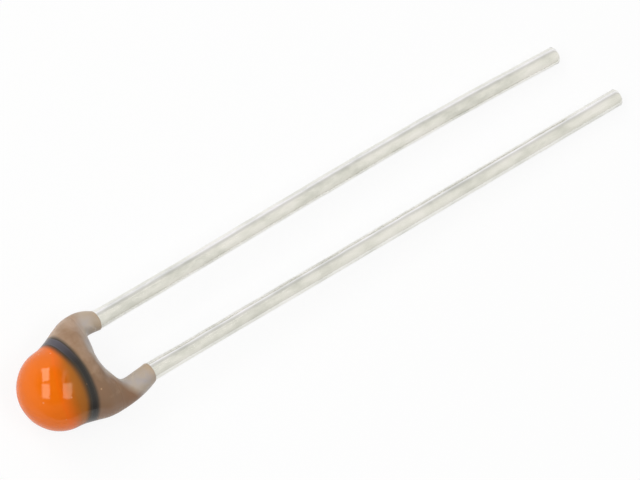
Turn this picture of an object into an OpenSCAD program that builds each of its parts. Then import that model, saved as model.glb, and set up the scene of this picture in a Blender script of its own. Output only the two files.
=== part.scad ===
// Disc thermistor with two radial leads, lying on its bead and its lead tips.
// Own axes before it is laid down: x runs from the bead to the lead tips, y across the leads,
// z through the disc. The middle of the disc is the zero point.

/* [Leads] */
// diameter of the tinned wire
lead_d = 0.64; // [0.4:0.02:0.8]
// distance between the two straight leads
lead_pitch = 2.54; // [2.2:0.02:5.08]
// how far the left lead kinks outwards under the coat
left_kink = 0.2; // [0.08:0.01:0.3]
// how far the right lead kinks outwards under the coat
right_kink = 0.12; // [0.08:0.01:0.3]
// centre-line radius of the bends
lead_bend_r = 0.4; // [0.35:0.05:0.6]
// bare wire of the left lead past its coat
left_bare = 20.89; // [8:0.01:40]
// bare wire of the right lead past its coat
right_bare = 21.42; // [8:0.01:40]
// chamfer left by the wire cutter
lead_chamfer = 0.05; // [0.02:0.01:0.1]

/* [Sensor disc] */
// diameter of the ceramic disc
disc_d = 1.7; // [1.5:0.1:5]
// thickness of the ceramic disc
disc_t = 0.7; // [0.5:0.05:1.5]
// thickness of the fired silver
electrode_t = 0.03; // [0.02:0.01:0.06]
// bare ceramic rim round the silver
electrode_rim = 0.1; // [0.05:0.05:0.3]
// solder between the wire and the silver
solder_film = 0.03; // [0.02:0.01:0.06]
// width of the solder fillet at its foot
solder_w = 1; // [0.9:0.05:1.4]
// how far the solder reaches past the middle of the disc
solder_past = 0.4; // [0.2:0.05:0.5]
// how far each lead sits off the middle of the disc
lead_offset = 0.25; // [0.1:0.05:0.4]
// how far the cut inner end of each lead lies before the middle of the disc
lead_before = 0.4; // [0.2:0.05:0.5]
// how far past the rim of the disc each lead turns down
lead_past_rim = 0.1; // [0.05:0.05:0.3]
// how far before the rear edge of the web each lead kinks
kink_before = 0.1; // [0:0.05:0.2]

/* [Lacquer coat] */
// lacquer round the rim of the disc
coat_side = 0.61; // [0.4:0.01:1]
// lacquer over the wires on the faces
coat_cover = 0.16; // [0.15:0.01:0.4]
// lacquer round the wires in the fork legs
leg_coat = 0.14; // [0.1:0.01:0.3]
// rear edge of the web, past the rim of the disc
web_len = 0.9; // [0.8:0.05:1.5]
// left fork leg, past the web
left_leg_len = 0.8; // [0.7:0.01:2]
// right fork leg, past the web
right_leg_len = 1.57; // [0.7:0.01:2]
// depth of the rounded corner between the web and the left leg
left_corner = 0.35; // [0.2:0.05:0.65]
// depth of the rounded corner between the web and the right leg
right_corner = 0.65; // [0.2:0.05:0.65]
// film left at the end of each leg
coat_lip = 0.03; // [0.02:0.01:0.06]
// sideways offset of the round tip towards the right lead
tip_offset = 0.08; // [0:0.01:0.2]

/* [Colour bands] */
// thickness of each painted layer
paint_t = 0.04; // [0.02:0.01:0.08]
// rear edge of the orange, past the middle of the disc
orange_past = 0.36; // [0.2:0.01:0.5]
// width of the black band
black_w = 0.33; // [0.2:0.01:0.5]
// bare rim between the brown band and the rear edge of the web
brown_rim = 0.07; // [0.05:0.01:0.2]

/* [Hidden] */
$fn = 48;
left = 1;
right = -1;

// stack through the disc, and the sizes of the coat that follow from it
lead_r = lead_d / 2;
bend_swell = lead_d / 120;
reach_share = 0.15;
half_stack = disc_t / 2 + electrode_t;
seat_z = half_stack + solder_film + lead_r;
electrode_r = disc_d / 2 - electrode_rim;
tip_r = disc_d / 2 + coat_side;
top_h = seat_z + lead_r + coat_cover;
web_x = disc_d / 2 + web_len;
leg_r = lead_r + leg_coat;
left_shoulder = lead_pitch / 2 + left_kink + leg_r;
right_shoulder = lead_pitch / 2 + right_kink + leg_r;
left_end = web_x + left_leg_len;
right_end = web_x + right_leg_len;

// how the coat swells and thins along x
flare_share = 0.07;
shoulder_share = 0.96;
leg_share = 0.11;
flare_start = -tip_r * flare_share;
flare_end = web_x * shoulder_share;
leg_start = web_x * leg_share;
web_power = 3;

// how much of the body's height runs on into the root of each leg, and where across the web the roots begin
left_root_share = 0.5;
right_root_share = 1;
root_share = 0.77;
web_edge_share = 0.1;
web_side_share = 0.6;
root_x = web_x * root_share;
root_rest = 1 - pow(root_share, web_power);
root_len = 2 * root_rest * web_x / (web_power * pow(root_share, web_power - 1));

// how suddenly each leg tapers, and how square its corner with the web is
left_taper_power = 2.2;
right_taper_power = 2;
left_corner_power = 3;
right_corner_power = 2.1;

// stations along x: round tip, bands, web and legs
half_steps = 12;
dome_steps = 9;
band_steps = 2;
brown_steps = 4;
rim_steps = 2;
corner_steps = 6;
leg_steps = 6;
ring_n = 4 * half_steps;
leg_n = 2 * half_steps;
black_end = orange_past + black_w;
brown_end = web_x - brown_rim;
dome_x = [for (i = [1 : dome_steps]) -tip_r * cos(90 * i / dome_steps)];
orange_x = span(0, orange_past, band_steps);
black_x = span(orange_past, black_end, band_steps);
brown_x = span(black_end, brown_end, brown_steps);
rim_x = span(brown_end, web_x, rim_steps);
body_x = concat(dome_x, orange_x, black_x, brown_x, rim_x);
orange_last = dome_steps + band_steps - 1;
black_last = orange_last + band_steps;
brown_last = black_last + brown_steps;

// resting on the bead and the tip of the longer lead
left_tip = left_end + left_bare;
right_tip = right_end + right_bare;
lay_angle = asin((top_h + paint_t - lead_r) / max(left_tip, right_tip));
lay_drop = max([for (x = body_x) x * sin(lay_angle) + half_h(x, paint_t) * cos(lay_angle)]);
lay_back = (max(left_tip, right_tip) - tip_r - paint_t) / 2;
lay_side = (left_shoulder - right_shoulder) / 2;

// evenly spaced places after a, up to and with b
function span(a, b, n) = [for (i = [1 : n]) a + (b - a) * i / n];

// soft step from 0 to 1
function ease(u) = let (v = max(0, min(1, u))) v * v * (3 - 2 * v);

// share of the full section that the round tip has at x
function dome(x) = sqrt(max(0, 1 - pow(min(x, 0) / tip_r, 2)));

// share of the full height that is left towards the rear edge of the web
function thinning(x) = sqrt(max(0, 1 - pow(max(x, 0) / web_x, web_power)));

// the value that belongs to one side
function on_side(side, at_left, at_right) = side == left ? at_left : at_right;

// how far the round tip has turned into the shoulders at x
function flare(x) = ease((x - flare_start) / (flare_end - flare_start));

// half width, half height, height over the roots and leg height of the coat at x, swollen by grow
function half_w(side, x, grow) =
    (tip_r + grow) * dome(x) + (on_side(side, left_shoulder, right_shoulder) - tip_r) * flare(x);
function half_h(x, grow) = dome(x) * (top_h * thinning(x) + grow);
function root_h(side, x, grow) =
    let (
        plain = pow(thinning(x), 2),
        handed_on = root_rest * pow(max(0, 1 - (x - root_x) / root_len), 2),
        share = x < root_x ? 0 : on_side(side, left_root_share, right_root_share)
    )
    dome(x) * (top_h * sqrt(plain + share * (handed_on - plain)) + grow);
function leg_h(x) = leg_r * ease((x - leg_start) / (web_x - leg_start));

// sideways lean at x, fading out at the shoulders
function lean(x) = -tip_offset * (1 - flare(x));

// place across a half section, closer together at its two ends
function across(k) = (1 - cos(180 * k / half_steps)) / 2;

// how far the web has turned into the root of a leg, at a place across
function rooted(t) = ease((t - web_edge_share) / (web_side_share - web_edge_share));

// closed ring of points round the body at x, from the left edge over the top to the right and back
function body_ring(x, grow) = [
    for (j = [0 : ring_n - 1])
        let (
            upper = j <= ring_n / 2,
            m = upper ? j : ring_n - j,
            side = m < half_steps ? left : right,
            t = across(abs(half_steps - m)),
            web = pow(half_h(x, grow), 2) * (1 - rooted(t)),
            root = pow(root_h(side, x, grow), 2) * rooted(t),
            z = sqrt(max(0, (web + root) * (1 - t * t) + pow(leg_h(x), 2) * 4 * t * (1 - t)))
        )
        [
            x < 0 ? x * (tip_r + grow) / tip_r : x,
            lean(x) + side * half_w(side, x, grow) * t,
            upper ? z : -z
        ]
];

// closed ring of points round one fork leg at x, which starts from its half of the last body ring
function leg_ring(side, x, end) =
    let (
        left_over = 1 - pow((x - web_x) / (end - web_x), on_side(side, left_taper_power, right_taper_power)),
        r = lead_r + coat_lip + (leg_coat - coat_lip) * left_over,
        middle = lead_pitch / 2 + on_side(side, left_kink, right_kink) * left_over,
        corner = 1 - min(1, (x - web_x) / on_side(side, left_corner, right_corner)),
        power = on_side(side, left_corner_power, right_corner_power),
        inner = (middle - r) * pow(1 - pow(corner, power), 1 / power),
        outer = middle + r
    )
    [
        for (j = [0 : leg_n - 1])
            let (
                m = side == left ? half_steps - j : j,
                t = across(abs(m) <= half_steps ? abs(m) : leg_n - m),
                root = pow(root_h(side, x, 0), 2) * rooted(t),
                z = sqrt(max(0, root * (1 - t * t) + r * r * 4 * t * (1 - t)))
            )
            [x, side * (inner + (outer - inner) * t), j <= half_steps ? z : -z]
    ];

// stations of one leg: close together round the corner of the fork, then even
function leg_x(corner, end) = concat(
    [for (i = [1 : corner_steps]) web_x + corner * (1 - cos(90 * i / corner_steps))],
    span(web_x + corner, end, leg_steps)
);

// two triangles between neighbouring rings, facing outwards or inwards
function patch(a, b, c, d, out) = out ? [[a, d, c], [a, c, b]] : [[a, c, d], [a, b, c]];
function joined(lists) = [for (list = lists) each list];

// triangles of a skin that starts at a pole and runs over rings of n points
function cap(pole, first, n, out) = [
    for (j = [0 : n - 1])
        let (a = first + j, b = first + (j + 1) % n)
        out ? [pole, a, b] : [pole, b, a]
];
function tube(first, rings, n, out) = joined([
    for (i = [0 : rings - 2], j = [0 : n - 1])
        let (a = first + i * n + j, b = first + i * n + (j + 1) % n)
        patch(a, b, b + n, a + n, out)
]);

// lays the whole part down, with the middle of its underside at zero
module as_laid() {
    translate([-lay_back, -lay_side, lay_drop])
        rotate([0, lay_angle, 0])
            children();
}

// outside of the base coat: one skin over the body that forks into the two legs
module coat_skin() {
    web_ring = 1 + (len(body_x) - 1) * ring_n;
    left_first = web_ring + ring_n;
    rings = corner_steps + leg_steps;
    right_first = left_first + rings * leg_n;
    // the top and the bottom of the body meet in one point at the crotch of the fork
    crotch = web_ring + half_steps;
    function body_at(i) = i == web_ring + 3 * half_steps ? crotch : i;
    function left_at(i, j) = i > 0 ? left_first + (i - 1) * leg_n + j
        : web_ring + (j <= half_steps ? j : j + leg_n);
    function right_at(i, j) = i > 0 ? right_first + (i - 1) * leg_n + j : web_ring + half_steps + j;
    points = concat(
        [[-tip_r, lean(-tip_r), 0]],
        joined([for (x = body_x) body_ring(x, 0)]),
        joined([for (x = leg_x(left_corner, left_end)) leg_ring(left, x, left_end)]),
        joined([for (x = leg_x(right_corner, right_end)) leg_ring(right, x, right_end)])
    );
    body = [for (f = tube(1, len(body_x), ring_n, true)) [for (i = f) body_at(i)]];
    left_leg = joined([
        for (i = [0 : rings - 1], j = [0 : leg_n - 1])
            let (k = (j + 1) % leg_n)
            patch(left_at(i, j), left_at(i, k), left_at(i + 1, k), left_at(i + 1, j), true)
    ]);
    right_leg = joined([
        for (i = [0 : rings - 1], j = [0 : leg_n - 1])
            let (k = (j + 1) % leg_n)
            patch(right_at(i, j), right_at(i, k), right_at(i + 1, k), right_at(i + 1, j), true)
    ]);
    ends = [
        [for (j = [leg_n - 1 : -1 : 0]) left_at(rings, j)],
        [for (j = [leg_n - 1 : -1 : 0]) right_at(rings, j)]
    ];
    polyhedron(points, concat(cap(0, 1, ring_n, true), body, left_leg, right_leg, ends));
}

// painted ring that lies on the body between two of its stations
module paint_ring(from, to) {
    stations = [for (i = [from : to]) body_x[i]];
    n = len(stations);
    outer = n * ring_n;
    points = concat(
        joined([for (x = stations) body_ring(x, 0)]),
        joined([for (x = stations) body_ring(x, paint_t)])
    );
    last = (n - 1) * ring_n;
    rims = joined([
        for (j = [0 : ring_n - 1])
            let (k = (j + 1) % ring_n)
            concat(patch(j, k, outer + k, outer + j, true),
                patch(last + j, last + k, outer + last + k, outer + last + j, false))
    ]);
    polyhedron(points, concat(tube(0, n, ring_n, false), tube(outer, n, ring_n, true), rims));
}

// painted cap over the round tip, up to one of the body's stations
module paint_cap(to) {
    stations = [for (i = [0 : to]) body_x[i]];
    n = len(stations);
    outer = 1 + n * ring_n;
    points = concat(
        [[-tip_r, lean(-tip_r), 0]],
        joined([for (x = stations) body_ring(x, 0)]),
        [[-tip_r - paint_t, lean(-tip_r), 0]],
        joined([for (x = stations) body_ring(x, paint_t)])
    );
    last = 1 + (n - 1) * ring_n;
    rim = joined([
        for (j = [0 : ring_n - 1])
            let (k = (j + 1) % ring_n)
            patch(last + j, last + k, outer + last + k, outer + last + j, false)
    ]);
    skins = concat(cap(0, 1, ring_n, false), tube(1, n, ring_n, false),
        cap(outer, outer + 1, ring_n, true), tube(outer + 1, n, ring_n, true));
    polyhedron(points, concat(skins, rim));
}

// straight piece of wire from a to b
module rod(a, b) {
    d = b - a;
    translate(a)
        rotate([0, acos(d.z / norm(d)), atan2(d.y, d.x)])
            cylinder(h = norm(d), r = lead_r);
}

// straight wire along x with a chamfered cut end
module cut_rod(a, length) {
    translate(a)
        rotate([0, 90, 0])
            rotate_extrude()
                polygon([
                    [0, 0],
                    [lead_r, 0],
                    [lead_r, length - lead_chamfer],
                    [lead_r - lead_chamfer, length],
                    [0, length]
                ]);
}

// wire bent round the corner p, between the directions in and out, and a hair thicker for the bending
function unit(v) = v / norm(v);
function turn(in, out) = acos(in * out);
function setback(in, out) = lead_bend_r * tan(turn(in, out) / 2);
module bend(p, in, out) {
    inwards = unit(out - in * (in * out));
    normal = cross(in, inwards);
    middle = p - in * setback(in, out) + inwards * lead_bend_r;
    multmatrix([for (i = [0 : 2]) [-inwards[i], in[i], normal[i], middle[i]]])
        rotate_extrude(angle = turn(in, out))
            translate([lead_bend_r, 0])
                circle(lead_r + bend_swell);
}

// corners of a lead's centre line: along its face of the disc, out to the kink, then straight to the tip
function lead_path(side, end) = [
    [-lead_before, side * lead_offset, side * seat_z],
    [disc_d / 2 + lead_past_rim, side * lead_offset, side * seat_z],
    [web_x - kink_before, side * (lead_pitch / 2 + on_side(side, left_kink, right_kink)), 0],
    [end - leg_coat / 2, side * lead_pitch / 2, 0]
];

// one bent wire: straight rods that reach a little way into the bends between them
module lead(side, end, tip) {
    path = lead_path(side, end);
    last = len(path) - 1;
    way = concat([for (i = [0 : last - 1]) unit(path[i + 1] - path[i])], [[1, 0, 0]]);
    reach = [for (i = [1 : last]) setback(way[i - 1], way[i]) * (1 - reach_share)];
    for (i = [0 : last - 1]) {
        start = path[i] + (i == 0 ? [0, 0, 0] : way[i] * reach[i - 1]);
        rod(start, path[i + 1] - way[i] * reach[i]);
        bend(path[i + 1], way[i], way[i + 1]);
    }
    foot = path[last] + way[last] * reach[last - 1];
    cut_rod(foot, tip - foot.x);
}

// solder drawn up both sides of the wire, before the wire is taken out of it
module solder_mound(side) {
    foot = solder_w / 2;
    brow = lead_r + solder_film * 2;
    height = solder_film + lead_r;
    intersection() {
        translate([-electrode_r, side * lead_offset, side * half_stack])
            rotate([90, 0, 90])
                linear_extrude(electrode_r + solder_past)
                    polygon([[-foot, 0], [foot, 0], [brow, side * height], [-brow, side * height]]);
        translate([0, 0, -seat_z])
            cylinder(h = 2 * seat_z, r = electrode_r - solder_film);
    }
}

module left_lead() {
    color("#D2D2C8") lead(left, left_end, left_tip);
}

module right_lead() {
    color("#D2D2C8") lead(right, right_end, right_tip);
}

module ceramic_disc() {
    color("#3A3836")
        translate([0, 0, -disc_t / 2])
            cylinder(h = disc_t, d = disc_d);
}

module top_electrode() {
    color("#C9C9C4")
        translate([0, 0, disc_t / 2])
            cylinder(h = electrode_t, r = electrode_r);
}

module bottom_electrode() {
    color("#C9C9C4")
        translate([0, 0, -half_stack])
            cylinder(h = electrode_t, r = electrode_r);
}

module left_solder() {
    color("#B4B4AE")
        difference() {
            solder_mound(left);
            left_lead();
        }
}

module right_solder() {
    color("#B4B4AE")
        difference() {
            solder_mound(right);
            right_lead();
        }
}

// lacquer cast round everything inside it
module base_coat() {
    color("#ACA096")
        difference() {
            coat_skin();
            ceramic_disc();
            top_electrode();
            bottom_electrode();
            solder_mound(left);
            solder_mound(right);
            left_lead();
            right_lead();
        }
}

module brown_band() {
    color("#8F7159") paint_ring(black_last, brown_last);
}

module black_band() {
    color("#3D3930") paint_ring(orange_last, black_last);
}

module orange_tip() {
    color("#E7731E") paint_cap(orange_last);
}

as_laid() ceramic_disc();
as_laid() top_electrode();
as_laid() bottom_electrode();
as_laid() left_solder();
as_laid() right_solder();
as_laid() left_lead();
as_laid() right_lead();
as_laid() base_coat();
as_laid() brown_band();
as_laid() black_band();
as_laid() orange_tip();
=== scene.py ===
"""Lacquer-dipped disc thermistor lying on a pale floor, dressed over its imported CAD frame."""

from math import asin, cos, pi, radians, sin, sqrt

import bmesh
import bpy
from mathutils import Euler, Matrix, Vector, noise


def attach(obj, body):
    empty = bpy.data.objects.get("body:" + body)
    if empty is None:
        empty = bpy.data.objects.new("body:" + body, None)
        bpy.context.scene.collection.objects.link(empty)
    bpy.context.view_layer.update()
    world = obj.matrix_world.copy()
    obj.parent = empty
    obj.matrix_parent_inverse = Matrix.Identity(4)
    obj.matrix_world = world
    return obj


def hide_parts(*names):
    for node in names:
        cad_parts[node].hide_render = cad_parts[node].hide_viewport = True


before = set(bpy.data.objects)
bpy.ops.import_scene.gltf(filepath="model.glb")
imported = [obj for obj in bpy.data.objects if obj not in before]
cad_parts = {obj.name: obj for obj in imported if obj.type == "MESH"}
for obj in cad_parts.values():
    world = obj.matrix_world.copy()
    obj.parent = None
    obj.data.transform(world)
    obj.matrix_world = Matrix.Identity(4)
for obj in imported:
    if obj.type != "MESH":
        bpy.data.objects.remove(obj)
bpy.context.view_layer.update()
scene = bpy.context.scene

# Sizes, in the part's own axes: x from the bead to the lead tips, y across the leads, z through the disc
MM = 0.001
LEFT, RIGHT = 1, -1
LEAD_R = 0.32 * MM
LEAD_PITCH = 2.54 * MM
LEAD_KINK = {LEFT: 0.2 * MM, RIGHT: 0.12 * MM}
LEAD_TIP = {LEFT: 23.44 * MM, RIGHT: 24.74 * MM}
BEND_R = 0.4 * MM
CUT_EDGE = 0.05 * MM
SEAT_Z = 0.73 * MM
SEAT_Y = 0.25 * MM
SEAT_FROM, SEAT_TO = -0.4 * MM, 0.95 * MM
KINK_X = 1.65 * MM
TIP_R = 1.46 * MM
TIP_OFFSET = 0.08 * MM
TOP_H = 1.21 * MM
WEB_X = 1.75 * MM
LEG_COAT = 0.14 * MM
LEG_R = LEAD_R + LEG_COAT
LEG_END = {LEFT: 2.55 * MM, RIGHT: 3.32 * MM}
SHOULDER = {side: LEAD_PITCH / 2 + LEAD_KINK[side] + LEG_R for side in (LEFT, RIGHT)}

# Fork, along x: where the body flares, hands on to the legs, slants and is rounded off, and the legs' lips
FLARE_FROM, FLARE_TO = -0.1 * MM, 1.68 * MM
LEG_FROM = 0.1925 * MM
ROOT_FROM = {LEFT: 1.47 * MM, RIGHT: 1.35 * MM}
SKEW_FROM = 0.9 * MM
WEB_SKEW = {LEFT: -0.07 * MM, RIGHT: 0.04 * MM}
RIM_FROM = 1.3 * MM
CORNER = {LEFT: 0.35 * MM, RIGHT: 0.65 * MM}
LEG_LIP = 0.045 * MM
LIP_SINK = 1.4 * LEG_LIP

# Fork, across: shares of the way from the middle of the web to its edge, and the least rim on the legs
WEB_SHARE = 0.1
SOFT_SHARE = 0.4
ROOT_SHARE = 0.6
RIM_SHARE = 0.25
LEAST_RIM = 0.001

# Fork: powers of its curves and of how its points crowd, and how slowly its section swings over to the legs
WEB_POWER = 3
WEB_SOFTER = 0.5
CORNER_POWER = {LEFT: 3, RIGHT: 2.1}
TAPER_POWER = {LEFT: 2.2, RIGHT: 2}
CROWDING = 4
SWING = 1.6

# Painted layers: where each ends, how far the ends bow back and between which places, and how the last thins
PAINT_T = 0.04 * MM
ORANGE_TO = 0.305 * MM
BLACK_TO = 0.55 * MM
BROWN_TO = 1.68 * MM
BAND_BOW = 0.17 * MM
BOW_IN = (-0.9 * MM, 0.2 * MM)
BOW_OUT = (0.7 * MM, 1.7 * MM)
BROWN_FEATHER = 0.6 * MM
FEATHER_PAST = 0.1

# What handling leaves: wavering edges, a skin that isn't quite even and leads that aren't quite straight
EDGE_WAVER = 0.05 * MM
WAVER_ALONG, WAVER_ROUND = 4, 1.3
SKIN_WAVER = 0.012 * MM
SKIN_WAVES = ((1.1 * MM, 1.0), (0.4 * MM, 0.4))
LEAD_EXIT = {LEFT: 0.05 * MM, RIGHT: 0.08 * MM}
LEFT_BOW = 0.13 * MM
LEFT_BOW_POWER = 1.6
RIGHT_LEAN = 0.085 * MM

# Tin that ran to the coat in a thin collar, from under the coat along each lead, and lumps of tin
COLLAR = 0.02 * MM
COLLAR_RISE = (-0.5 * MM, -0.2 * MM)
COLLAR_LEN = {LEFT: 3.4 * MM, RIGHT: 1.7 * MM}
COLLAR_LEAN = 0.3
LUMP_H = 0.014 * MM
LUMP_SIZE = 1.4 * MM
LUMP_RANGE = (0.45, 0.8)
LUMP_SEED = {LEFT: 3.0, RIGHT: 8.0}

# How finely things are drawn: points over a quarter of a ring and round a wire, and steps along x
QUARTER = 40
WIRE_SIDES = 40
DOME_STEPS = 36
BAND_STEPS = (14, 14, 36)
REAR_STEPS = 8
LEG_STEPS = 22
LIP_STEPS = 5
BEND_STEPS = 8
LEAD_STEPS = 240
LAY_STEPS = 400

# How close two places are to count as one, along the part and in space, and the least angle of a crisp edge
SAME_ALONG = 1e-7
SAME_PLACE = 1e-8
CRISP = radians(40)

# Laying down: the part rests on its bead and on the tip of the longer lead
LAY_ANGLE = asin((TOP_H + PAINT_T - LEAD_R) / LEAD_TIP[RIGHT])
LAY_BACK = (LEAD_TIP[RIGHT] - TIP_R - PAINT_T) / 2
LAY_SIDE = (SHOULDER[LEFT] - SHOULDER[RIGHT]) / 2

# Camera: how the part's axes are turned to the picture, the scale at the bead and where the bead lies in it
PICTURE_W, PICTURE_H = 640, 480
VIEW_TURN = Euler((radians(-1.97), radians(25.88), radians(30.17)))
VIEW_DISTANCE = 300 * MM
PX_PER_M = 28.81 / MM
BEAD_PX = (57.4, 386.6)
SENSOR = 36
CLIP_START = 10 * MM

# Floor: half its width, and how much of plain white is in it as the camera and as the gloss see it
FLOOR_HALF = 1500 * MM
PAPER_SEEN = 0.88
PAPER_MIRRORED = 0.16

# Light: how far off the windows are, a small rise that finds their upright, and the fill on matt surfaces
WINDOW_DISTANCE = 250 * MM
SMALL_RISE = 0.01
ROOM_FILL = 0.32

# Room that the gloss mirrors: where its two sides meet, how the bead's side darkens downwards, and the lens
BEAD_SIDE_TO, TIP_SIDE_FROM = 0.3, 0.41
LOW, HIGH = -0.8, 0.2
LOW_LEVEL, HIGH_LEVEL = 0.34, 0.85
LENS_DARK = (radians(30), radians(58))
LENS_LEVEL = 0.08
LENS_UP = radians(16)


def ease(u):
    """Soft step from 0 to 1."""
    v = max(0.0, min(1.0, u))
    return v * v * (3 - 2 * v)


def between(place, a, b):
    """Soft step from 0 at a to 1 at b."""
    return ease((place - a) / (b - a))


def span(a, b, steps):
    """Evenly spaced places after a, up to and with b."""
    return [a + (b - a) * i / steps for i in range(1, steps + 1)]


def arch(t):
    """Arch from 0 over 1 half way to 0 again."""
    return 4 * t * (1 - t)


def dome(x):
    """Share of the full section that the round tip has at x."""
    return sqrt(max(0.0, 1 - (min(x, 0) / TIP_R) ** 2))


def thinning(x):
    """Share of the squared height that is left towards the rear edge of the web."""
    return max(0.0, 1 - (max(x, 0) / WEB_X) ** WEB_POWER)


def half_h(x):
    """Half height of the body at x."""
    return TOP_H * dome(x) * sqrt(thinning(x))


def flare(x):
    """How far the round tip has turned into the shoulders at x."""
    return between(x, FLARE_FROM, FLARE_TO)


def rooted(t):
    """How far the web has turned into the root of a leg, at a share of the way to its edge."""
    return between(t, WEB_SHARE, ROOT_SHARE)


def root(x, side, t):
    """Squared height that the body hands on to a fork leg, which thins out along the first part of it."""
    start = ROOT_FROM[side]
    left_over = thinning(min(x, start))
    if x > start:
        reach = 2 * left_over * WEB_X ** WEB_POWER / (WEB_POWER * start ** (WEB_POWER - 1))
        left_over *= max(0.0, 1 - (x - start) / reach) ** 2
    return rooted(t) * left_over * (TOP_H * dome(x)) ** 2 * (1 - t * t)


def rim(t, width=RIM_SHARE):
    """Rounding of the thin inner edge of the web and the legs, over a width in shares of their own."""
    return 1 - (1 - min(1.0, t / width)) ** 2


def skewed(x, side, t):
    """The place x, pushed so that the rear edge of the web runs at a slant."""
    near = between(x, SKEW_FROM, WEB_X) - ease((x - WEB_X) / CORNER[side])
    return x + WEB_SKEW[side] * near * arch(t)


def body_point(x, side, t, up):
    """Point of the body's skin: t runs from 0 in the middle to 1 at the edge of its side."""
    half_w = TIP_R * dome(x) + (SHOULDER[side] - TIP_R) * flare(x)
    leg_h = LEG_R * between(x, LEG_FROM, WEB_X)
    softer = 1 + WEB_SOFTER * between(t, WEB_SHARE, SOFT_SHARE)
    web = (1 - rooted(t)) * (TOP_H * dome(x)) ** 2 * thinning(x) ** softer * (1 - t * t)
    round_off = 1 - (1 - rim(t)) * between(x, RIM_FROM, WEB_X)
    height = sqrt(max(0.0, web + round_off * (root(x, side, t) + leg_h ** 2 * arch(t))))
    return Vector((skewed(x, side, t), side * half_w * t - TIP_OFFSET * (1 - flare(x)), up * height))


def leg_point(x, side, t, up, swell=0.0):
    """Point of a fork leg's skin: t runs from 0 at the inner edge to 1 at the outer edge."""
    run = (x - WEB_X) / (LEG_END[side] - WEB_X)
    left_over = 1 - min(1.0, run) ** TAPER_POWER[side]
    r = LEAD_R + LEG_LIP + (LEG_COAT - LEG_LIP) * left_over + swell
    middle = LEAD_PITCH / 2 + LEAD_KINK[side] * left_over + side * LEAD_EXIT[side] * (1 - left_over)
    past = (x - WEB_X) / CORNER[side]
    power = CORNER_POWER[side]
    inner = (middle - r) * (1 - (1 - min(1.0, past)) ** power) ** (1 / power)
    outer = middle + r
    # close to the web only the points near the inner edge give way to it, so that the skin runs on unbroken
    crowd = CROWDING - (CROWDING - 1) * ease(past)
    y = (inner ** crowd + (outer ** crowd - inner ** crowd) * t ** crowd) ** (1 / crowd)
    # the section swings over from the wide web to the round leg more slowly than its inner edge does
    swung = ease(past / SWING)
    foot = (middle - r) * swung
    over = max(0.0, (y - foot) / (outer - foot))
    round_off = rim((y - inner) / outer, RIM_SHARE * max(LEAST_RIM, 1 - swung ** 2))
    height = sqrt(max(0.0, round_off * (root(x, side, over) + r ** 2 * arch(over))))
    return Vector((skewed(x, side, y / outer), side * y, up * height))


LAY_DROP = max(
    x * sin(LAY_ANGLE) + (half_h(x) + PAINT_T * dome(x)) * cos(LAY_ANGLE)
    for x in span(-TIP_R, WEB_X, LAY_STEPS)
)
AS_LAID = Matrix.Translation((-LAY_BACK, -LAY_SIDE, LAY_DROP)) @ Matrix.Rotation(LAY_ANGLE, 4, "Y")


# Small tools for nodes, materials and pieces

def node(tree, kind, feeds=(), stops=(), **settings):
    """Adds one node. Settings are its own properties, feeds give its sockets a value or what drives them,
    and stops are the places and colours of a ramp."""
    made = tree.nodes.new(kind)
    for name, value in settings.items():
        setattr(made, name, value)
    sockets = {socket.identifier: socket for socket in made.inputs}
    for name, value in dict(feeds).items():
        if isinstance(value, bpy.types.Node):
            value = next(output for output in value.outputs if output.enabled)
        if isinstance(value, bpy.types.NodeSocket):
            tree.links.new(value, sockets[name])
        else:
            sockets[name].default_value = value
    for i, (place, colour) in enumerate(stops):
        ramp = made.color_ramp.elements
        if i == 0:
            ramp.remove(ramp[1])
            ramp[0].position = place
            ramp[0].color = colour
        else:
            ramp.new(place).color = colour
    return made


def sums(tree, operation, *values):
    """Adds one step of arithmetic on up to three values."""
    return node(tree, "ShaderNodeMath", zip(("Value", "Value_001", "Value_002"), values), operation=operation)


def ranged(tree, value, low, high, to_low=0.0, to_high=1.0, step="LINEAR"):
    """Adds a step that carries a value from one range over to another and holds it there."""
    return node(tree, "ShaderNodeMapRange", {
        "Value": value, "From Min": low, "From Max": high, "To Min": to_low, "To Max": to_high,
    }, interpolation_type=step)


def blend(tree, share, first, second):
    """Adds a mix of two colours, with a share of the second."""
    return node(tree, "ShaderNodeMix", {"Factor_Float": share, "A_Color": first, "B_Color": second},
                data_type="RGBA")


def tones(tree, value, *stops):
    """Adds a ramp of colours, each given by its place and its sRGB hex value."""
    return node(tree, "ShaderNodeValToRGB", {"Fac": value}, stops=[(at, linear(code)) for at, code in stops])


def clouds(tree, place, size, detail):
    """Adds soft noise in clouds of a real size."""
    return node(tree, "ShaderNodeTexNoise", {"Vector": place, "Scale": 1 / size, "Detail": detail})


def linear(code, level=1.0):
    """Linear colour of an sRGB hex value."""
    shares = [int(code[i:i + 2], 16) / 255 for i in (1, 3, 5)]
    return (*(level * (s / 12.92 if s <= 0.04045 else ((s + 0.055) / 1.055) ** 2.4) for s in shares), 1.0)


def blank_material(name):
    """An empty material and its node tree."""
    made = bpy.data.materials.new(name)
    made.use_nodes = True
    made.node_tree.nodes.clear()
    return made, made.node_tree


def piece(name, mesh, stands_for):
    """Puts a finished mesh into the scene as the piece that stands for one CAD node."""
    made = bpy.data.objects.new(name, mesh)
    scene.collection.objects.link(made)
    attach(made, "root")
    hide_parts(stands_for)
    return made


def grown(name, source, tree, values):
    """Mesh that a geometry tree makes of a mesh or curve, with the tree's inputs set by name."""
    base = bpy.data.objects.new(name, source)
    scene.collection.objects.link(base)
    grower = base.modifiers.new(tree.name, "NODES")
    grower.node_group = tree
    for socket in tree.interface.items_tree:
        if socket.name in values:
            grower[socket.identifier] = values[socket.name]
    seen = base.evaluated_get(bpy.context.evaluated_depsgraph_get())
    mesh = bpy.data.meshes.new_from_object(seen)
    base.modifiers.remove(grower)
    bpy.data.objects.remove(base)
    mesh.name = name
    return mesh


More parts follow.
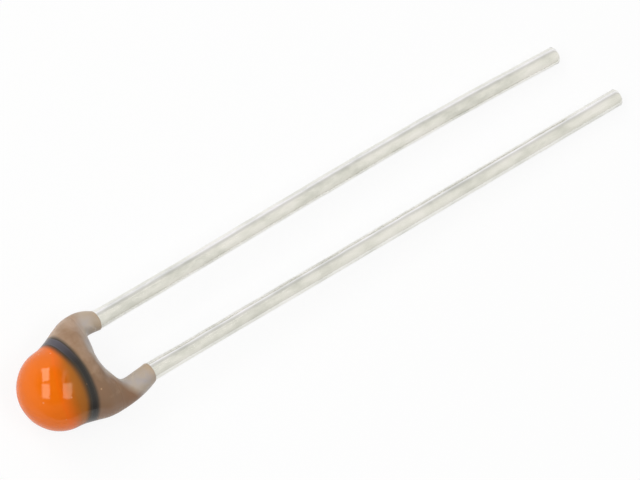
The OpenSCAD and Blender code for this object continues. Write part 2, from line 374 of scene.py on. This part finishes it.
def tree_with(name, inputs):
    """An empty geometry tree with named inputs, and the sockets of its input node."""
    tree = bpy.data.node_groups.new(name, "GeometryNodeTree")
    for label, kind in inputs.items():
        tree.interface.new_socket(label, in_out="INPUT", socket_type=f"NodeSocket{kind}")
    tree.interface.new_socket("Made", in_out="OUTPUT", socket_type="NodeSocketGeometry")
    return tree, node(tree, "NodeGroupInput").outputs


# Materials

def own_place(tree):
    """Coordinates along the part's own axes."""
    place = node(tree, "ShaderNodeTexCoord").outputs["Object"]
    return node(tree, "ShaderNodeMapping", {"Vector": place, "Rotation": (0, -LAY_ANGLE, 0)})


def across_leads(tree, place):
    """The place across the leads."""
    return node(tree, "ShaderNodeSeparateXYZ", {"Vector": place}).outputs["Y"]


def specks(tree, place, apart, size, share, strength):
    """Scattered soft specks: about one per cell of the given spacing, kept in a share of the cells."""
    cells = node(tree, "ShaderNodeTexVoronoi", {"Vector": place, "Scale": 1 / apart, "Randomness": 1.0})
    lot = node(tree, "ShaderNodeSeparateColor", {"Color": cells.outputs["Color"]})
    kept = sums(tree, "LESS_THAN", lot, share)
    core = 0.35
    dot = ranged(tree, cells.outputs["Distance"], size / apart, core * size / apart)
    return sums(tree, "MULTIPLY", sums(tree, "MULTIPLY", dot, kept), strength)


def flow(tree, place, wave, height):
    """Bump of lacquer that flowed almost level before it set."""
    waves = clouds(tree, place, wave, detail=1.0)
    return node(tree, "ShaderNodeBump", {"Height": waves, "Distance": height, "Strength": 0.5})


def lacquer(name, paint):
    """A dipped lacquer: paint gives its colour and gloss, drawn over own axes and the along attribute."""
    made, tree = blank_material(name)
    place = own_place(tree)
    along = node(tree, "ShaderNodeAttribute", attribute_name="along").outputs["Fac"]
    shader = node(tree, "ShaderNodeBsdfPrincipled", {
        **paint(tree, place, along), "Normal": flow(tree, place, wave=0.45 * MM, height=0.004 * MM),
    })
    node(tree, "ShaderNodeOutputMaterial", {"Surface": shader})
    return made


def wavering(tree, place, along, wave, reach):
    """The along attribute, pushed to and fro so that an edge drawn with it looks brushed by hand."""
    push = ranged(tree, clouds(tree, place, wave, detail=2.0), 0.0, 1.0, -reach, reach)
    return sums(tree, "ADD", along, push)


def sideways(tree, place, along, lean):
    """The along attribute, leaning over by a share of the place across the leads."""
    return sums(tree, "MULTIPLY_ADD", across_leads(tree, place), lean, along)


def bowed(tree, place, along, middle, depth):
    """The along attribute, drawn back on both sides of a place across the leads, by depth at 1 mm from it."""
    off = sums(tree, "SUBTRACT", across_leads(tree, place), middle)
    square = sums(tree, "MULTIPLY", off, off)
    return sums(tree, "MULTIPLY_ADD", square, -depth / MM ** 2, along)


def orange_paint(tree, place, along):
    """Orange that goes ochre towards the black, sooner over the middle, partly as its own colour and partly
    as painted shade where the window light falls off, and dark at its wet edge, with pale specks."""
    edge = bowed(tree, place, along, middle=-0.7 * MM, depth=0.213 * MM)
    edge = wavering(tree, place, edge, wave=1.1 * MM, reach=0.06 * MM)
    # the ochre towards the black is partly the orange thinning over it and partly painted shade where the
    # window light falls off
    tone = tones(
        tree, ranged(tree, edge, -0.71 * MM, 0.09 * MM),
        (0.0, "#EC6F08"), (0.13, "#EE6B06"), (0.3, "#DE680A"), (0.5, "#C4640C"), (0.7, "#AC600E"),
        (1.0, "#9C5C12"),
    )
    wet = ranged(tree, along, ORANGE_TO - 0.26 * MM, ORANGE_TO, step="SMOOTHSTEP")
    dark = blend(tree, wet, tone, linear("#352D24"))
    dots = specks(tree, place, apart=0.4 * MM, size=0.045 * MM, share=0.3, strength=0.4)
    colour = blend(tree, dots, dark, linear("#F0B487"))
    return {"Base Color": colour, "Roughness": 0.1, "IOR": 1.5, "Specular Tint": linear("#FFE9CC")}


def black_paint(tree, place, along):
    """Black that is a little brown at its edges, and paler grey towards the left, a painted reflection of the
    bright room in its gloss.
    """
    edge = wavering(tree, place, along, wave=0.8 * MM, reach=0.03 * MM)
    tone = tones(
        tree, ranged(tree, edge, ORANGE_TO, BLACK_TO),
        (0.0, "#352D24"), (0.25, "#1E1A16"), (0.7, "#1E1A16"), (1.0, "#372F26"),
    )
    # the paler grey towards the left is a painted reflection of the room's light in the gloss
    thin = ranged(tree, across_leads(tree, place), 0.3 * MM, 1.3 * MM, to_high=0.5)
    colour = blend(tree, thin, tone, linear("#686270"))
    return {"Base Color": colour, "Roughness": 0.16, "IOR": 1.5}


def thinning_brown(tree, place, along):
    """Brown in clouds, paler on the left, that thins out over the warm and cool clouds of the
    grey-beige coat."""
    cloudy = clouds(tree, place, 0.6 * MM, detail=3.0)
    depth = sideways(tree, place, sums(tree, "MULTIPLY", cloudy, MM), lean=0.18)
    brown = tones(
        tree, ranged(tree, depth, 0.1 * MM, 0.9 * MM),
        (0.0, "#8A674C"), (0.35, "#8A694D"), (0.6, "#9C7C60"), (1.0, "#B4977E"),
    )
    beige = tones(tree, cloudy, (0.35, "#B6A592"), (0.5, "#B6A99C"), (0.65, "#B0A7A4"))
    end = sideways(tree, place, bowed(tree, place, along, middle=0.0, depth=0.27 * MM), lean=0.16)
    end = wavering(tree, place, end, wave=0.7 * MM, reach=0.2 * MM)
    thin = ranged(tree, end, BROWN_TO - 0.48 * MM, BROWN_TO - 0.08 * MM)
    return blend(tree, thin, brown, beige)


def brown_paint(tree, place, along):
    """Thin brown that starts dark at the wet edge of the black and fades into the coat, with a few
    pale specks."""
    wet = ranged(tree, along, BLACK_TO, BLACK_TO + 0.17 * MM, step="SMOOTHSTEP")
    dark = blend(tree, wet, linear("#372F26"), thinning_brown(tree, place, along))
    dots = specks(tree, place, apart=0.35 * MM, size=0.05 * MM, share=0.5, strength=0.7)
    colour = blend(tree, dots, dark, linear("#CFA77C"))
    return {"Base Color": colour, "Roughness": 0.2, "IOR": 1.5}


def base_paint(tree, place, along):
    """Grey-beige base lacquer, satin, with the last of the brown drawn into it round the fork, and warmer
    where it runs out over the leads."""
    last = (LEG_END[LEFT] + LEG_END[RIGHT]) / 2
    level = sideways(tree, place, along, lean=(LEG_END[RIGHT] - LEG_END[LEFT]) / LEAD_PITCH)
    out = ranged(tree, level, last - 0.5 * MM, last, to_high=0.6)
    colour = blend(tree, out, thinning_brown(tree, place, along), linear("#B99F7F"))
    return {"Base Color": colour, "Roughness": 0.28, "IOR": 1.5}


def tinned_copper():
    """Hot-tinned copper wire, drawn: a soft grey-white shine with fine lengthwise scratches and
    dull patches."""
    made, tree = blank_material("tinned_copper")
    place = own_place(tree)
    # drawing scratches are a few micrometres wide, drawn coarser here so that they show
    long_way = node(tree, "ShaderNodeMapping", {"Vector": place, "Scale": (0.06, 1, 1)})
    scratches = clouds(tree, long_way, 0.09 * MM, detail=3.0)
    drawn_out = node(tree, "ShaderNodeMapping", {"Vector": place, "Scale": (0.45, 1, 1)})
    patches = clouds(tree, drawn_out, 0.45 * MM, detail=3.0)
    tone = tones(tree, patches, (0.3, "#E1E1DA"), (0.5, "#F2F1EB"), (0.7, "#FBF9F5"))
    dull = ranged(tree, scratches, 0.3, 0.7, to_low=0.08, to_high=0.14)
    bump = node(tree, "ShaderNodeBump", {"Height": scratches, "Distance": 0.004 * MM, "Strength": 0.2})
    shader = node(tree, "ShaderNodeBsdfPrincipled", {
        "Base Color": tone, "Metallic": 1.0, "Roughness": dull, "Normal": bump,
    })
    node(tree, "ShaderNodeOutputMaterial", {"Surface": shader})
    return made


def grained(name, dark, light, grain, roughness, metallic=0.0):
    """A plain grained surface of the pieces inside the coat: two tones in grains of one size."""
    made, tree = blank_material(name)
    grains = clouds(tree, own_place(tree), grain, detail=3.0)
    tone = tones(tree, grains, (0.35, dark), (0.65, light))
    bump = node(tree, "ShaderNodeBump", {"Height": grains, "Distance": 0.05 * grain, "Strength": 0.4})
    shader = node(tree, "ShaderNodeBsdfPrincipled", {
        "Base Color": tone, "Metallic": metallic, "Roughness": roughness, "Normal": bump,
    })
    node(tree, "ShaderNodeOutputMaterial", {"Surface": shader})
    return made


# Lacquer coat: one skin over the body that forks into the two legs

def coat_mesh(finish):
    """Mesh of the whole coat, with each point's place along x kept as an attribute."""
    across = [(1 - cos(pi * k / QUARTER)) / 2 for k in range(QUARTER + 1)]
    body_x = [-TIP_R * cos(pi / 2 * i / DOME_STEPS) for i in range(1, DOME_STEPS + 1)]
    ends = (0, ORANGE_TO, BLACK_TO, BROWN_TO)
    for a, b, steps in zip(ends, ends[1:], BAND_STEPS):
        body_x += span(a, b, steps)
    body_x += [BROWN_TO + (WEB_X - BROWN_TO) * sin(pi / 2 * u) for u in span(0, 1, REAR_STEPS)]

    points = [Vector((-TIP_R, -TIP_OFFSET, 0))]
    along = [-TIP_R]
    faces = []

    def add_ring(x, ring):
        first = len(points)
        points.extend(ring)
        along.extend([x] * len(ring))
        return list(range(first, len(points)))

    def join(ring, following):
        n = len(ring)
        for j in range(n):
            k = (j + 1) % n
            corners = (ring[j], ring[k], following[k], following[j])
            faces.append(tuple(dict.fromkeys(corners)))

    def body_ring(x):
        ring = []
        for j in range(4 * QUARTER):
            up = 1 if j <= 2 * QUARTER else -1
            m = j if up > 0 else 4 * QUARTER - j
            side = LEFT if m < QUARTER else RIGHT
            t = across[abs(QUARTER - m)]
            turn = Vector((0, side * t, up * sqrt(1 - t * t)))
            way = Vector((WAVER_ALONG * x / TIP_R, 0, 0)) + WAVER_ROUND * turn
            keep = between(x, *BOW_IN) * (1 - between(x, *BOW_OUT))
            moved = x + keep * (BAND_BOW * (1 - t * t) + EDGE_WAVER * noise.noise(way))
            ring.append(body_point(moved, side, t, up))
        return ring

    def leg_ring(x, side, sunk=0.0, shift=0.0):
        ring = []
        for j in range(2 * QUARTER):
            m = QUARTER - j if side == LEFT else j
            t = across[abs(m) if abs(m) <= QUARTER else 2 * QUARTER - m]
            ring.append(leg_point(x, side, t, 1 if j <= QUARTER else -1, -sunk) + Vector((shift, 0, 0)))
        return ring

    last = [0] * (4 * QUARTER)
    for x in body_x:
        ring = add_ring(x, body_ring(x))
        join(last, ring)
        last = ring
    # the top and the bottom of the body meet in one point at the crotch of the fork
    crotch = last[QUARTER]
    spare = last[3 * QUARTER]
    faces[:] = [tuple(dict.fromkeys(crotch if i == spare else i for i in face)) for face in faces]
    starts = {
        LEFT: last[:QUARTER + 1] + last[3 * QUARTER + 1:],
        RIGHT: last[QUARTER:3 * QUARTER],
    }
    for side, ring in starts.items():
        end = LEG_END[side] - LEG_LIP
        turn = [WEB_X + CORNER[side] * (1 - cos(pi / 2 * u)) for u in span(0, 1, LEG_STEPS)]
        for x in turn + span(WEB_X + CORNER[side], end, LEG_STEPS):
            following = add_ring(x, leg_ring(x, side))
            join(ring, following)
            ring = following
        # the lacquer draws in to the wire in a small rounded lip
        for u in span(0, 1, LIP_STEPS):
            sunk = LIP_SINK * (1 - cos(pi / 2 * u))
            following = add_ring(end, leg_ring(end, side, sunk, LEG_LIP * sin(pi / 2 * u)))
            join(ring, following)
            ring = following
        faces.append(tuple(ring))

    mesh = bpy.data.meshes.new("lacquer_coat")
    mesh.from_pydata(points, [], [face for face in faces if len(face) > 2])
    mesh.attributes.new("along", "FLOAT", "POINT").data.foreach_set("value", along)
    shaped = bmesh.new()
    shaped.from_mesh(mesh)
    bmesh.ops.delete(shaped, geom=[v for v in shaped.verts if not v.link_faces], context="VERTS")
    bmesh.ops.recalc_face_normals(shaped, faces=shaped.faces)
    shaped.normal_update()
    for vert in shaped.verts:
        uneven = sum(share * noise.noise(vert.co / size) for size, share in SKIN_WAVES)
        vert.co += vert.normal * SKIN_WAVER * uneven
    shaped.to_mesh(mesh)
    shaped.free()
    mesh.transform(AS_LAID)
    mesh.shade_smooth()
    mesh.materials.append(finish)
    return mesh


# Painted layers, which follow the skin of the coat

def layer_tree():
    """Lays a closed layer on the stretch of a skin between two places along it, thinning out
    towards its end."""
    tree, given = tree_with("painted_layer", {
        "Skin": "Geometry", "From": "Float", "To": "Float", "Thickness": "Float", "Feather": "Float",
        "Finish": "Material",
    })
    along = node(tree, "GeometryNodeInputNamedAttribute", {"Name": "along"}, data_type="FLOAT")
    past = sums(tree, "SUBTRACT", along, given["From"])
    rest = sums(tree, "SUBTRACT", given["To"], along)
    inside = sums(tree, "MINIMUM", past, rest)
    held = node(tree, "FunctionNodeCompare", {"A": inside, "B": -SAME_ALONG}, operation="GREATER_THAN")
    stretch = node(tree, "GeometryNodeSeparateGeometry", {"Geometry": given["Skin"], "Selection": held},
                   domain="FACE")
    start = sums(tree, "MULTIPLY_ADD", given["Feather"], -FEATHER_PAST, -SAME_PLACE)
    swell = ranged(tree, rest, start, given["Feather"], to_high=given["Thickness"], step="SMOOTHSTEP")
    outwards = node(tree, "GeometryNodeInputNormal")
    lift = node(tree, "ShaderNodeVectorMath", {"Vector": outwards, "Scale": swell}, operation="SCALE")
    kept = node(tree, "GeometryNodeCaptureAttribute", {"Geometry": stretch})
    kept.capture_items.new("VECTOR", "Lift")
    tree.links.new(lift.outputs[0], kept.inputs["Lift"])
    walls = node(tree, "GeometryNodeExtrudeMesh", {"Mesh": kept, "Offset Scale": 0.0, "Individual": False},
                 mode="FACES")
    face = node(tree, "GeometryNodeSetPosition", {
        "Geometry": walls, "Selection": walls.outputs["Top"], "Offset": kept.outputs["Lift"],
    })
    back = node(tree, "GeometryNodeFlipFaces", {"Mesh": kept})
    both = node(tree, "GeometryNodeJoinGeometry", {"Geometry": face})
    tree.links.new(back.outputs[0], both.inputs[0])
    closed = node(tree, "GeometryNodeMergeByDistance", {"Geometry": both, "Distance": SAME_PLACE})
    angle = node(tree, "GeometryNodeInputMeshEdgeAngle").outputs["Unsigned Angle"]
    corner = node(tree, "FunctionNodeCompare", {"A": angle, "B": CRISP}, operation="GREATER_THAN")
    smooth = node(tree, "GeometryNodeSetShadeSmooth", {"Geometry": closed})
    crisp = node(tree, "GeometryNodeSetShadeSmooth",
                 {"Geometry": smooth, "Selection": corner, "Shade Smooth": False}, domain="EDGE")
    real = node(tree, "GeometryNodeRealizeInstances", {"Geometry": crisp})
    painted = node(tree, "GeometryNodeSetMaterial", {"Geometry": real, "Material": given["Finish"]})
    node(tree, "NodeGroupOutput", {tree.interface.items_tree["Made"].identifier: painted})
    return tree


# Leads, which follow a bent path

def lead_path(side):
    """Centre line of one lead: along its face of the disc, out to the kink, then on to the tip."""
    exit_y = side * LEAD_PITCH / 2 + LEAD_EXIT[side]
    corners = [
        Vector((SEAT_FROM, side * SEAT_Y, side * SEAT_Z)),
        Vector((SEAT_TO, side * SEAT_Y, side * SEAT_Z)),
        Vector((KINK_X, side * (LEAD_PITCH / 2 + LEAD_KINK[side]), 0)),
        Vector((LEG_END[side] - LEG_COAT / 2, exit_y, 0)),
        Vector((LEAD_TIP[side], exit_y, 0)),
    ]
    path = [corners[0]]
    for before, corner, after in zip(corners, corners[1:], corners[2:]):
        way_in = (corner - before).normalized()
        way_out = (after - corner).normalized()
        turn = way_in.angle(way_out)
        inwards = (way_out - way_in * way_in.dot(way_out)).normalized()
        setback = BEND_R * sin(turn / 2) / cos(turn / 2)
        start = corner - way_in * setback
        path += [
            start + BEND_R * (way_in * sin(f) + inwards * (1 - cos(f))) for f in span(0, turn, BEND_STEPS)
        ]
    straight_from = path[-1]
    straight_to = corners[-1] - Vector((CUT_EDGE, 0, 0))
    for u in span(0, 1, LEAD_STEPS):
        bent = LEFT_BOW * sin(pi * u ** LEFT_BOW_POWER) if side == LEFT else RIGHT_LEAN * u
        path.append(straight_from.lerp(straight_to, u) + Vector((0, bent, 0)))
    path.append(path[-1] + (path[-1] - path[-2]).normalized() * CUT_EDGE)
    return path


def collar(x, side):
    """Thickness of the tin collar at x, which starts under the end of the coat and thins out along
    the lead."""
    past = x - LEG_END[side]
    return COLLAR * between(past, *COLLAR_RISE) * (1 - ease(past / COLLAR_LEN[side]))


def lead_curve(name, side):
    """Curve of one lead, whose radius holds its thickness against that of the plain wire."""
    path = lead_path(side)
    curve = bpy.data.curves.new(name, "CURVE")
    curve.dimensions = "3D"
    spline = curve.splines.new("POLY")
    spline.points.add(len(path) - 1)
    for point, place in zip(spline.points, path):
        tin = collar(place.x, side)
        point.co = (*(AS_LAID @ (place + Vector((0, COLLAR_LEAN * tin, 0)))), 1)
        point.radius = 1 + tin / LEAD_R
    return curve


def wire_tree():
    """Draws a round tinned wire along a path, with a cut edge at its end and small lumps of tin."""
    tree, given = tree_with("drawn_wire", {
        "Path": "Geometry", "Radius": "Float", "Sides": "Int", "Cut": "Float", "Lumps": "Float",
        "Lump Size": "Float", "Seed": "Float", "Finish": "Material",
    })
    run = node(tree, "GeometryNodeSplineParameter").outputs["Length"]
    whole = node(tree, "GeometryNodeSplineLength").outputs["Length"]
    rest = sums(tree, "SUBTRACT", whole, run)
    cut_r = sums(tree, "SUBTRACT", given["Radius"], given["Cut"])
    plain = ranged(tree, rest, 0.0, given["Cut"], cut_r, given["Radius"])
    thickness = node(tree, "GeometryNodeInputRadius")
    radius = sums(tree, "MULTIPLY", plain, thickness)
    ring = node(tree, "GeometryNodeCurvePrimitiveCircle", {"Resolution": given["Sides"], "Radius": 1.0})
    tube = node(tree, "GeometryNodeCurveToMesh",
                {"Curve": given["Path"], "Profile Curve": ring, "Scale": radius, "Fill Caps": True})
    place = node(tree, "GeometryNodeInputPosition")
    scale = sums(tree, "DIVIDE", 1.0, given["Lump Size"])
    lumps = node(tree, "ShaderNodeTexNoise",
                 {"Vector": place, "W": given["Seed"], "Scale": scale, "Detail": 1.0}, noise_dimensions="4D")
    height = ranged(tree, lumps, *LUMP_RANGE, to_high=given["Lumps"])
    outwards = node(tree, "GeometryNodeInputNormal")
    lift = node(tree, "ShaderNodeVectorMath", {"Vector": outwards, "Scale": height}, operation="SCALE")
    lumpy = node(tree, "GeometryNodeSetPosition", {"Geometry": tube, "Offset": lift})
    smooth = node(tree, "GeometryNodeSetShadeSmooth", {"Geometry": lumpy})
    real = node(tree, "GeometryNodeRealizeInstances", {"Geometry": smooth})
    tinned = node(tree, "GeometryNodeSetMaterial", {"Geometry": real, "Material": given["Finish"]})
    node(tree, "NodeGroupOutput", {tree.interface.items_tree["Made"].identifier: tinned})
    return tree


# The pieces

base_lacquer = lacquer("grey_beige_lacquer", base_paint)
coat = piece("lacquer_coat", coat_mesh(base_lacquer), "base_coat")

layer = layer_tree()
for name, node_name, slot, start, stop, feather, paint in (
    ("orange_cap", "orange_tip", "orange_lacquer", -2 * TIP_R, ORANGE_TO, 0, orange_paint),
    ("black_ring", "black_band", "black_lacquer", ORANGE_TO, BLACK_TO, 0, black_paint),
    ("brown_ring", "brown_band", "brown_lacquer", BLACK_TO, BROWN_TO, BROWN_FEATHER, brown_paint),
):
    skin = grown(name, coat.data.copy(), layer, {
        "From": start, "To": stop, "Thickness": PAINT_T, "Feather": feather, "Finish": lacquer(slot, paint),
    })
    piece(name, skin, node_name)

wire = wire_tree()
tinned = tinned_copper()
for name, node_name, side in (("left_wire", "left_lead", LEFT), ("right_wire", "right_lead", RIGHT)):
    drawn = grown(name, lead_curve(name, side), wire, {
        "Radius": LEAD_R, "Sides": WIRE_SIDES, "Cut": CUT_EDGE, "Lumps": LUMP_H, "Lump Size": LUMP_SIZE,
        "Seed": LUMP_SEED[side], "Finish": tinned,
    })
    piece(name, drawn, node_name)

ceramic = grained("sintered_oxide_ceramic", "#33312F", "#44413E", grain=0.04 * MM, roughness=0.8)
silver = grained("fired_silver", "#BDBDB8", "#D2D2CE", grain=0.03 * MM, roughness=0.5, metallic=1.0)
solder = grained("reflowed_tin_solder", "#A6A6A2", "#C0C0BA", grain=0.08 * MM, roughness=0.3, metallic=1.0)
for name, material in (
    ("ceramic_disc", ceramic), ("top_electrode", silver), ("bottom_electrode", silver),
    ("left_solder", solder), ("right_solder", solder),
):
    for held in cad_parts[name].material_slots:
        held.material = material


# Floor and camera

def white_paper():
    """Matt white paper: seen as white, but it keeps the shadow of the part."""
    made, tree = blank_material("white_paper")
    path = node(tree, "ShaderNodeLightPath").outputs
    mirrored = sums(tree, "MAXIMUM", path["Is Glossy Ray"], path["Is Transmission Ray"])
    softened = sums(tree, "MULTIPLY", mirrored, PAPER_MIRRORED)
    share = sums(tree, "MULTIPLY_ADD", path["Is Camera Ray"], PAPER_SEEN, softened)
    matt = node(tree, "ShaderNodeBsdfDiffuse", {"Color": linear("#F7F7F6")})
    glow = node(tree, "ShaderNodeEmission", {"Color": linear("#FFFFFF"), "Strength": 1.0})
    both = node(tree, "ShaderNodeMixShader", {"Fac": share, "Shader": matt, "Shader_001": glow})
    node(tree, "ShaderNodeOutputMaterial", {"Surface": both})
    return made


floor_mesh = bpy.data.meshes.new("floor")
floor_mesh.from_pydata([(x, y, 0) for x, y in ((-1, -1), (1, -1), (1, 1), (-1, 1))], [], [(0, 1, 2, 3)])
floor_mesh.transform(Matrix.Scale(FLOOR_HALF, 4))
floor_mesh.materials.append(white_paper())
floor = bpy.data.objects.new("floor", floor_mesh)
scene.collection.objects.link(floor)

zero = AS_LAID.translation
camera_turn = (AS_LAID.to_3x3() @ VIEW_TURN.to_matrix().transposed()).to_4x4()
middle = Vector((
    (PICTURE_W / 2 - BEAD_PX[0]) / PX_PER_M, (BEAD_PX[1] - PICTURE_H / 2) / PX_PER_M, VIEW_DISTANCE,
))
lens = bpy.data.cameras.new("camera")
lens.sensor_width = SENSOR
lens.lens = PX_PER_M * VIEW_DISTANCE * SENSOR / PICTURE_W
lens.clip_start = CLIP_START
camera = bpy.data.objects.new("camera", lens)
camera.matrix_world = Matrix.Translation(zero) @ camera_turn @ Matrix.Translation(middle)
scene.collection.objects.link(camera)
scene.camera = camera


# Windows and room

def window(name, across, upwards, width, height, level):
    """Lit window pane, placed by where it mirrors in the bead as seen in the picture, upright there
    and facing it."""
    def mirrored(rise):
        normal = Vector((across, upwards + rise, sqrt(1 - across ** 2 - (upwards + rise) ** 2)))
        return camera_turn.to_3x3() @ (2 * normal.z * normal - Vector((0, 0, 1)))

    towards = mirrored(0).normalized()
    sidewards = (mirrored(SMALL_RISE) - mirrored(-SMALL_RISE)).cross(towards).normalized()
    pane = bpy.data.lights.new(name, "AREA")
    pane.shape = "RECTANGLE"
    pane.size = width
    pane.size_y = height
    pane.energy = level * pi * width * height
    lamp = bpy.data.objects.new(name, pane)
    turn = Matrix((sidewards, towards.cross(sidewards), towards)).transposed().to_4x4()
    lamp.matrix_world = Matrix.Translation(zero + towards * WINDOW_DISTANCE) @ turn
    scene.collection.objects.link(lamp)


window("left_window_upper", across=-0.175, upwards=0.355, width=78 * MM, height=142 * MM, level=5.2)
window("left_window_lower", across=-0.175, upwards=0.015, width=90 * MM, height=158 * MM, level=4.5)
window("right_window_upper", across=0.215, upwards=0.31, width=36 * MM, height=110 * MM, level=1.0)
window("right_window_lower", across=0.295, upwards=0.03, width=90 * MM, height=150 * MM, level=3.8)


def studio_world():
    """Soft white room: a plain fill for matt surfaces, and what the gloss mirrors: pale walls, a darker gap
    between them over the leads, and the dark of the lens that looks at the part."""
    world = bpy.data.worlds.new("soft_studio")
    world.use_nodes = True
    tree = world.node_tree
    tree.nodes.clear()
    way = node(tree, "ShaderNodeTexCoord").outputs["Generated"]
    shares = node(tree, "ShaderNodeSeparateXYZ", {"Vector": way}).outputs
    roll = sums(tree, "ARCTAN2", shares["Y"], shares["Z"])
    turn = ranged(tree, roll, -pi, pi)
    walls = node(tree, "ShaderNodeValToRGB", {"Fac": turn}, stops=[
        (0.25, linear("#FFFEF8", 0.74)), (0.42, linear("#FFFEF8", 0.85)), (0.54, linear("#FFFEF8", 0.84)),
        (0.645, linear("#FFFEFC", 0.68)), (0.73, linear("#F8F8FF", 1.06)),
    ])
    tip_side = ranged(tree, shares["X"], BEAD_SIDE_TO, TIP_SIDE_FROM)
    height = ranged(tree, shares["Y"], LOW, HIGH, LOW_LEVEL, HIGH_LEVEL)
    lens_way = camera_turn.to_3x3() @ Vector((0, sin(LENS_UP), cos(LENS_UP)))
    near = node(tree, "ShaderNodeVectorMath", {"Vector": way, "Vector_001": lens_way},
                operation="DOT_PRODUCT").outputs["Value"]
    dark = ranged(tree, near, cos(LENS_DARK[1]), cos(LENS_DARK[0]), 1.0, LENS_LEVEL, step="SMOOTHSTEP")
    mirrored = blend(tree, tip_side, sums(tree, "MULTIPLY", height, dark), walls)
    path = node(tree, "ShaderNodeLightPath").outputs
    glossy = blend(tree, path["Is Glossy Ray"], linear("#FFFFFF", ROOM_FILL), mirrored)
    seen = blend(tree, path["Is Camera Ray"], glossy, linear("#FFFFFF"))
    light = node(tree, "ShaderNodeBackground", {"Color": seen, "Strength": 1.0})
    node(tree, "ShaderNodeOutputWorld", {"Surface": light})
    return world


scene.world = studio_world()
scene.view_settings.view_transform = "Standard"
